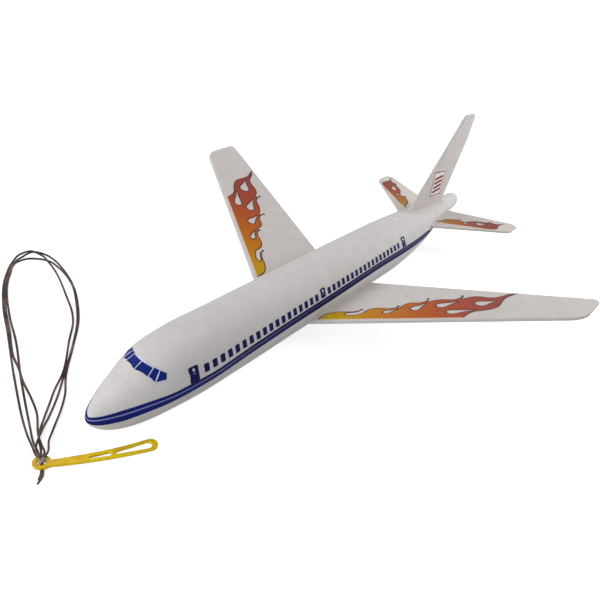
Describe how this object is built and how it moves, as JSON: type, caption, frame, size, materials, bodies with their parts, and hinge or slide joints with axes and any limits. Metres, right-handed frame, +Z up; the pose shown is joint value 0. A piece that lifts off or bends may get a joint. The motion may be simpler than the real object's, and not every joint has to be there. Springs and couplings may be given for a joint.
{
  "type": "catapult-launched foam toy glider",
  "caption": "Foam toy airliner glider with push-in wings, tailplanes and fin, film stripes and flames, and a finger handle with an elastic loop to launch it.",
  "frame": {"origin": "on the flat under the belly, below the balance point", "axes": "+X to the nose, +Y to port, +Z up"},
  "size_m": [0.445, 0.3227, 0.1104],
  "materials": {
    "foam": "moulded bead foam",
    "blue_film": "printed film",
    "flame_film": "printed film, yellow to red",
    "emblem_film": "printed film",
    "handle": "moulded",
    "hook": "moulded",
    "weight": "plain",
    "thread": "bare rubber"
  },
  "bodies": {
    "glider": {"fuselage": "foam", "nose_weight": "weight", "launch_hook": "hook", "cheatline_port": "blue_film", "cheatline_starboard": "blue_film", "windows_port": "blue_film", "windows_starboard": "blue_film", "doors_port": "blue_film", "doors_starboard": "blue_film", "windscreen": "blue_film"},
    "wing_port": {"wing_port": "foam", "flame_wing_port": "flame_film"},
    "wing_starboard": {"wing_starboard": "foam", "flame_wing_starboard": "flame_film"},
    "tailplane_port": {"tailplane_port": "foam", "flame_tail_port": "flame_film"},
    "tailplane_starboard": {"tailplane_starboard": "foam", "flame_tail_starboard": "flame_film"},
    "fin": {"fin": "foam", "emblem_port": "emblem_film", "emblem_starboard": "emblem_film"},
    "launcher": {"launcher_handle": "handle", "elastic_loop_1": "thread", "elastic_loop_2": "thread", "elastic_loop_3": "thread", "elastic_knot": "thread", "elastic_tails": "thread"}
  },
  "joints": [
    {"name": "wing_port_slide", "type": "slide", "parent": "glider", "child": "wing_port", "axis": [0, 0.9683, 0.2497], "range_m": [0, 0.02]},
    {"name": "wing_starboard_slide", "type": "slide", "parent": "glider", "child": "wing_starboard", "axis": [0, -0.9683, 0.2497], "range_m": [0, 0.02]},
    {"name": "tailplane_port_slide", "type": "slide", "parent": "glider", "child": "tailplane_port", "axis": [0, 0.9998, 0.0209], "range_m": [0, 0.014]},
    {"name": "tailplane_starboard_slide", "type": "slide", "parent": "glider", "child": "tailplane_starboard", "axis": [0, -0.9998, 0.0209], "range_m": [0, 0.014]},
    {"name": "fin_slide", "type": "slide", "parent": "glider", "child": "fin", "axis": [0, 0, 1], "range_m": [0, 0.014]},
    {"name": "launcher_slide", "type": "slide", "parent": "glider", "child": "launcher", "axis": [1, 0, 0], "range_m": [0, 0.1]}
  ]
}
